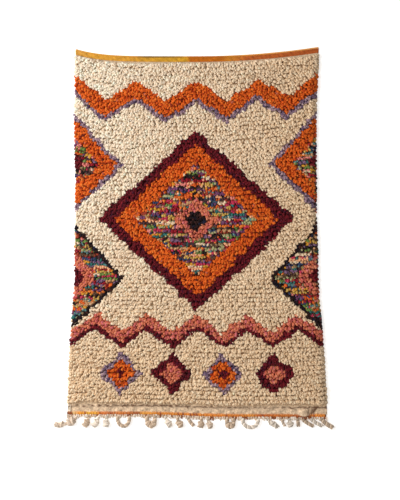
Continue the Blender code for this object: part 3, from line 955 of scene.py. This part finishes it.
def add_plied(store, path, shades, radius, offset, pitch, flat, plies=2, start=0.0):
    """Adds a cord of twisted plies round a path of points, each (points, 3).

    radius and offset, a ply's own and its distance from the path, are one size or one for each
    point.
    """
    ahead = unit(np.gradient(path, axis=0))
    side = unit(np.cross((0.0, 0.0, 1.0), ahead))
    up = np.cross(ahead, side)
    run = np.concatenate([[0.0], np.cumsum(np.linalg.norm(np.diff(path, axis=0), axis=1))])
    away = np.broadcast_to(offset, len(path))[:, None]
    centres, sides = [], []
    for p in range(plies):
        turn = (2 * math.pi * (run / pitch + p / plies) + start)[:, None]
        centres.append(path + away * (side * np.cos(turn) + up * np.sin(turn) * flat))
        sides.append(side)
    shape = (plies, len(path))
    widths = np.broadcast_to(radius, shape)
    lengths = np.broadcast_to(run / (2 * math.pi * np.max(radius)), shape)
    colours = np.broadcast_to(shades, (*shape, 3))
    add_strands(store, np.stack(centres), np.stack(sides), widths, widths * flat, colours, lengths)


def add_yarn(store, path, shades, radius, flat=1.0):
    """Adds a single yarn along a path."""
    add_plied(store, path, shades, radius, 0.0, 1.0, flat, plies=1)


def add_stitches(store, backs, forward, rise, radius, shades):
    """Adds short slanting stitches that start at backs and arch over, each (stitches, 3)."""
    share = np.linspace(0, 1, STITCH_STATIONS)[:, None]
    centres = backs[:, None] + share * np.asarray(forward)
    arch = np.sin(math.pi * share[:, 0])
    centres[..., 2] += rise * arch
    shape = centres.shape[:2]
    across = np.broadcast_to((1.0, 0.0, 0.0), centres.shape)
    widths = np.broadcast_to(radius, shape[::-1]).T * (STITCH_SWELL[0] + STITCH_SWELL[1] * arch)
    colours = np.broadcast_to(shades, centres.shape)
    lengths = np.broadcast_to(share[:, 0] * STITCH_TURNS, shape)
    add_strands(store, centres, across, widths, widths * STITCH_FLATNESS, colours, lengths)


def along_edge(table, x, column=1):
    """Colours at x, blended between those in one column of a table that starts with x."""
    places = [row[0] for row in table]
    shades = linear([row[column] for row in table])
    return np.stack([np.interp(x, places, channel) for channel in shades.T], -1)


def build_end_cord(material):
    """The lumpy orange cord that is twined along the lower edge: stitches over a core."""
    rng = np.random.default_rng(SEED + 2)
    store = new_store()
    core = END_CORE
    x, y = rug_point(np.linspace(core.start, core.end, core.points), END_CORD_DEPTH / 2)
    path = at(x, y, END_CORD_HEIGHT * core.height + buckle(x))
    # Painted shade: the core is painted darker, for the shade between the stitches over it.
    add_yarn(store, path, core.light * along_edge(END_STRETCHES, x), core.radius, core.flat)
    shares = np.arange(*STITCH_SHARES, END_STITCH_PITCH)
    shares += rng.uniform(-STITCH_JITTER, STITCH_JITTER, len(shares))
    x, y = rug_point(shares, END_CORD_DEPTH + TUCK)
    backs = at(x - STITCH_BACK, y, STITCH_ROOT + buckle(x))
    shades = np.array(END_TINT) * along_edge(END_STRETCHES, x)
    shades *= rng.normal(1.0, STITCH_DYE, len(x))[:, None]
    speck = rng.random(len(x)) < SPECK_SHARE
    shades[speck] = linear(SPECK_TONE)
    ends = np.array(STITCH_PALE)[:, None]
    shades = shades[:, None] + ends * (linear(FLAT_END_TONE) - shades[:, None])
    shades = np.clip(shades, LEAST_LIGHT, MOST_LIGHT)
    radius = STITCH_RADIUS * rng.uniform(*STITCH_RADII, len(x))
    forward = (STITCH_SLANT, -END_CORD_DEPTH - TUCK, -STITCH_FALL)
    add_stitches(store, backs, forward, STITCH_RISE, radius, shades)
    return finished("orange_end_cord", store, material)


def build_top_cord(material):
    """The thin yellow cord that is twined along the top edge, round a core."""
    core = TOP_CORE
    shares = np.linspace(core.start, core.end, core.points)
    x, y = rug_point(shares, LENGTH - TOP_CORD_DEPTH / 2)
    path = at(x, y, TOP_CORD_HEIGHT * core.height)
    shades = along_edge(TOP_STRETCHES, x, column=2)
    store = new_store()
    # Painted shade: the core is painted darker, for the shade between the plies round it.
    add_yarn(store, path, core.light * shades, core.radius, core.flat)
    add_plied(store, path, shades, *TOP_PLIES)
    return finished("yellow_top_cord", store, material)


def build_top_band(material):
    """The narrow woven band between the pile and the top cord."""
    rng = np.random.default_rng(SEED + 4)
    start = PILE_END - BAND_TUCK + GAP
    end = PILE_END + GAP + TOP_BAND_DEPTH + TUCK
    along = np.linspace(start, end, BAND_RIBS * RIB_STEPS + 1)
    v, u = np.meshgrid(along, np.linspace(0, 1, BAND_COLUMNS), indexing="ij")
    x, y = rug_point(u, v)
    depth = (v - start) / TOP_BAND_DEPTH
    rib = np.abs(np.sin(math.pi * BAND_RIBS * depth))
    wale = 0.5 + 0.5 * np.sin(2 * math.pi * (x / WALE_WIDTH + 2 * depth))
    uneven = smooth_field(rng, x, y, BAND_UNEVEN_SIZE)
    relief = np.tensordot(BAND_RELIEF, (rib, wale, uneven), 1)
    z = TOP_BAND_HEIGHT - BAND_GROUND + relief
    shades = along_edge(TOP_STRETCHES, x)
    # Painted light and shade: the band is painted lighter on its wales' crests and darker between
    # them.
    shades *= (BAND_TONE_AND_PAINTED_LIGHT[0] + BAND_TONE_AND_PAINTED_LIGHT[1] * wale + BAND_TONE_AND_PAINTED_LIGHT[2] * uneven)[..., None]
    store = new_store()
    add_cloth(store, at(x, y, z), at(x, y, 0.0), shades)
    return finished("coloured_top_band", store, material)


def curve_points(nodes, count, first=0.0, last=1.0):
    """Points of a quadratic curve through a start, past a bend, to an end, between two shares."""
    start, bend, end = (np.asarray(n, float) for n in nodes)
    t = np.linspace(first, last, count)[:, None]
    return (start * (1 - t) + bend * t) * (1 - t) + (bend * (1 - t) + end * t) * t


def add_knot(store, rng, path, half_width, shade):
    """A knot round a stretch of a tassel: thick plies, with two turns of wool across them."""
    round_off = np.sin(math.pi * np.linspace(*KNOT_ROUNDING, len(path))) ** KNOT_POWER
    ahead = path[-1] - path[0]
    length = np.linalg.norm(ahead)
    ply = half_width * KNOT_PLY
    path = path.copy()
    path[:, 2] = half_width * KNOT_FLATNESS
    twist = rng.uniform(0, 2 * math.pi)
    shades = shade * np.array(PLY_TONES)[:, None, None]
    add_plied(
        store, path, shades, ply * round_off, (half_width - ply) * round_off, length,
        KNOT_FLATNESS, plies=3, start=twist,
    )
    side = unit(np.cross(ahead, (0.0, 0.0, 1.0)))
    turn = np.linspace(*WRAP_ARC, WRAP_POINTS)[:, None]
    for middle, slant in WRAPS:
        centre = path[0] + ahead * middle
        wrap = centre + side * half_width * WRAP_WIDTH * np.cos(math.pi * turn)
        wrap = wrap + ahead * slant * (turn - 0.5)
        wrap[:, 2] = half_width * KNOT_FLATNESS * (1 + np.sin(math.pi * turn[:, 0]))
        add_yarn(store, wrap, shade * rng.uniform(*WRAP_LIGHT), half_width * WRAP_RADIUS)


def add_ends(store, rng, origin, tip, shade):
    """The short loose ends below a knot."""
    for _ in range(LOOSE_ENDS):
        end = tip + (rng.normal(0, LOOSE_SPREAD), rng.uniform(*LOOSE_REACH), 0)
        end[2] = LOOSE_HEIGHT
        start = origin + (rng.normal(0, LOOSE_ROOT_SPREAD), 0, rng.uniform(*LOOSE_REACH))
        middle = (start + end) / 2 + (rng.normal(0, LOOSE_ROOT_SPREAD), 0, LOOSE_ARCH)
        wisp = curve_points((start, middle, end), LOOSE_POINTS)
        add_plied(store, wisp, shade, *LOOSE_PLIES, plies=1)


def add_tassel(store, rng, tassel, shade):
    """One tassel, strand or loop of the fringe. It rests level on the floor."""
    stout = STOUTNESS.get(tassel.kind, 1.0) * tassel.girth
    ply = TASSEL_PLIES.radius * stout
    offset = TASSEL_PLIES.offset * stout
    pitch, flat = TASSEL_PLIES.pitch, TASSEL_PLIES.flat
    rest = (ply + offset) * flat
    front = lower_edge(tassel.root) - GAP - STRIP_DEPTH
    shades = shade * np.array(PLY_TONES[:2])[:, None, None]
    if tassel.kind == "loop":
        turn = np.linspace(0, math.pi, LOOP_POINTS)
        middle = (tassel.root + tassel.tip) / 2
        half = (tassel.tip - tassel.root) / 2
        x = middle - half * np.cos(turn)
        front = lower_edge(middle) - GAP - STRIP_DEPTH
        y = front + LOOP_TUCK - (tassel.reach + LOOP_TUCK) * np.sin(turn) ** LOOP_POWER
        path = at(x, y, rest)
        add_plied(store, path, shades, ply, offset, pitch, flat)
        if half < KNOTTED_LOOP:
            reach = half + ply
            low = front - tassel.reach * TIE_PLACE
            tie = np.linspace((middle - reach, low, 0.0), (middle + reach, low, 0.0), KNOT_POINTS)
            add_knot(store, rng, tie, TIE_HALF_WIDTH, shade)
        return
    lift = float(buckle(np.array(tassel.root)))
    start = (tassel.root, front + TASSEL_TUCK, rest + lift)
    bend = (tassel.root, front - tassel.reach * BENDS[tassel.kind], rest)
    end = (tassel.tip, front - tassel.reach, rest)
    way = (start, bend, end)
    knots = KNOTS[tassel.kind]
    reaches = knots[-1].start + KNOT_OVERLAP if knots else UNKNOTTED_REACH
    neck = curve_points(way, NECK_POINTS, last=reaches)
    swell = np.linspace(NECK_SWELL[0], 1.0 if knots else NECK_SWELL[1], NECK_POINTS)
    add_plied(store, neck, shades, ply * swell, offset, pitch, flat, start=rng.uniform(0, 6))
    for knot in knots:
        path = curve_points(way, KNOT_POINTS, knot.start, knot.end)
        add_knot(store, rng, path, knot.half_width * tassel.girth, shade)
    add_ends(store, rng, curve_points(way, 1, LOOSE_FROM)[0], np.array(end), shade)


def build_fringe(material):
    """The warp ends: a lumpy row of stitches, and the tassels and loops that hang from it."""
    rng = np.random.default_rng(SEED + 5)
    wool = linear(WARP_TONES)
    store = new_store()
    core = ROW_CORE
    x, _ = rug_point(np.linspace(core.start, core.end, core.points), 0.0)
    y = lower_edge(x) - GAP - STRIP_DEPTH / 2
    path = at(x, y, STRIP_HEIGHT * core.height + buckle(x))
    add_yarn(store, path, core.light * linear(ROW_CORE_TONE), core.radius, core.flat)
    places = np.arange(x[0] + ROW_MARGINS[0], x[-1] - ROW_MARGINS[1], ROW_STITCH_PITCH)
    count = len(places)
    places += rng.normal(0, ROW_JITTER, count)
    over = rng.uniform(*ROW_OVER, count)
    high = at(places, lower_edge(places) + over, ROW_HEIGHT + buckle(places))
    tones = wool[rng.integers(0, len(wool), count)] * ROW_LIGHT
    dark_share = np.interp(places, (-HALF_WIDTH, HALF_WIDTH), ROW_DARK_SHARE)
    tones[rng.random(count) < dark_share] = linear(ROW_DARK_TONE)
    radius = ROW_RADIUS * rng.uniform(*ROW_RADII, count)
    slant = rng.normal(*ROW_SLANT, count)
    reach = STRIP_DEPTH + rng.uniform(*ROW_REACH, count)
    forward = at(slant, -reach, -ROW_FALL)[:, None]
    add_stitches(store, high, forward, ROW_RISE, radius, tones[:, None])
    for place in rng.uniform(x[0] + WISP_MARGINS[0], x[-1] - WISP_MARGINS[1], ROW_WISPS):
        root = lower_edge(place) - GAP - STRIP_DEPTH * WISP_ROOT
        start = np.array((place, root, WISP_HEIGHT))
        end = start + (rng.normal(0, WISP_SPREAD), -rng.uniform(*WISP_REACH), -WISP_FALL)
        middle = (start + end) / 2 + (rng.normal(0, WISP_BEND), 0, 0)
        wisp = curve_points((start, middle, end), WISP_POINTS)
        add_yarn(store, wisp, wool[rng.integers(0, len(wool))], WISP_RADIUS)
    path = curve_points(CORNER_LUMP, CORNER_LUMP_POINTS)
    add_knot(store, rng, path, CORNER_LUMP_HALF_WIDTH, wool[0])
    for tassel in TASSELS:
        # Painted shade: the tassels are painted darker towards the right.
        shadow = WARP_SHADE * held(tassel.root / HALF_WIDTH + WARP_SHADE_FROM)
        light = rng.uniform(*WARP_LIGHT) - shadow
        add_tassel(store, rng, tassel, wool[rng.integers(0, len(wool))] * light)
    return finished("knotted_fringe", store, material)


def stage_material(name, colour):
    """Plain pale paint with the faintest grain."""
    material, nodes, links, shader = new_material(name)
    shader.inputs["Base Color"].default_value = (*colour, 1.0)
    shader.inputs["Emission Color"].default_value = (1.0, 1.0, 1.0, 1.0)
    shader.inputs["Emission Strength"].default_value = FLOOR_GLOW
    grain = nodes.new("ShaderNodeTexNoise")
    grain.inputs["Scale"].default_value = 60.0
    spread = nodes.new("ShaderNodeMapRange")
    spread.inputs["To Min"].default_value = 0.7
    spread.inputs["To Max"].default_value = 0.9
    links.new(grain.outputs["Fac"], spread.inputs["Value"])
    links.new(spread.outputs["Result"], shader.inputs["Roughness"])
    return material


def build_stage():
    """The floor, the lights and the camera."""
    bpy.ops.mesh.primitive_plane_add(size=FLOOR_SIZE, location=(0.0, 0.0, -GAP))
    floor = bpy.context.object
    floor.name = "floor"
    floor.data.materials.append(stage_material("pale_floor", FLOOR_TONE))

    world = bpy.data.worlds.new("studio")
    bpy.context.scene.world = world
    world.use_nodes = True
    world.node_tree.nodes["Background"].inputs["Color"].default_value = (*WORLD_TONE, 1.0)
    world.node_tree.nodes["Background"].inputs["Strength"].default_value = WORLD_LIGHT
    for lamp in LAMPS:
        data = bpy.data.lights.new(lamp.name, "AREA")
        data.energy = lamp.power
        data.size = lamp.size
        data.color = lamp.colour
        light = bpy.data.objects.new(lamp.name, data)
        light.location = lamp.place
        light.rotation_euler = (-Vector(lamp.place)).to_track_quat("-Z", "Y").to_euler()
        bpy.context.scene.collection.objects.link(light)

    camera_data = bpy.data.cameras.new("camera")
    camera_data.lens = LENS
    camera = bpy.data.objects.new("camera", camera_data)
    centre_x = SHIFT[0] + (FRAME_WIDTH / 2 - MIDDLE_COLUMN) * PIXEL
    centre_y = SHIFT[1] + (LOWER_ROW - FRAME_HEIGHT / 2) * PIXEL
    camera.location = (centre_x, centre_y, FRAME_HEIGHT * PIXEL * LENS / SENSOR)
    bpy.context.scene.collection.objects.link(camera)
    bpy.context.scene.camera = camera


def main():
    bpy.context.scene.view_settings.view_transform = "Standard"
    pile = build_pile(wool_material("pile_wool", twist=8.0, slant=40, ply=0.7, depth=0.001))
    weave = wool_material(
        "ground_wool", twist=6.0, slant=90, ply=0.7, depth=0.0005, grain=190.0, mottling=(0.7, 1.22)
    )
    ground = build_ground(weave)
    plied_wool = wool_material("plied_wool", twist=8.0, slant=40, ply=0.6, depth=0.0006)
    end_cord = build_end_cord(plied_wool)
    top_cord = build_top_cord(plied_wool)
    top_band = build_top_band(plied_wool)
    fringe = build_fringe(plied_wool)
    for piece in (ground, *pile):
        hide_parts("rug_body")
    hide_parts("end_cord")
    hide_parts("top_cord")
    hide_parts("top_band")
    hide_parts("fringe")
    build_stage()


main()
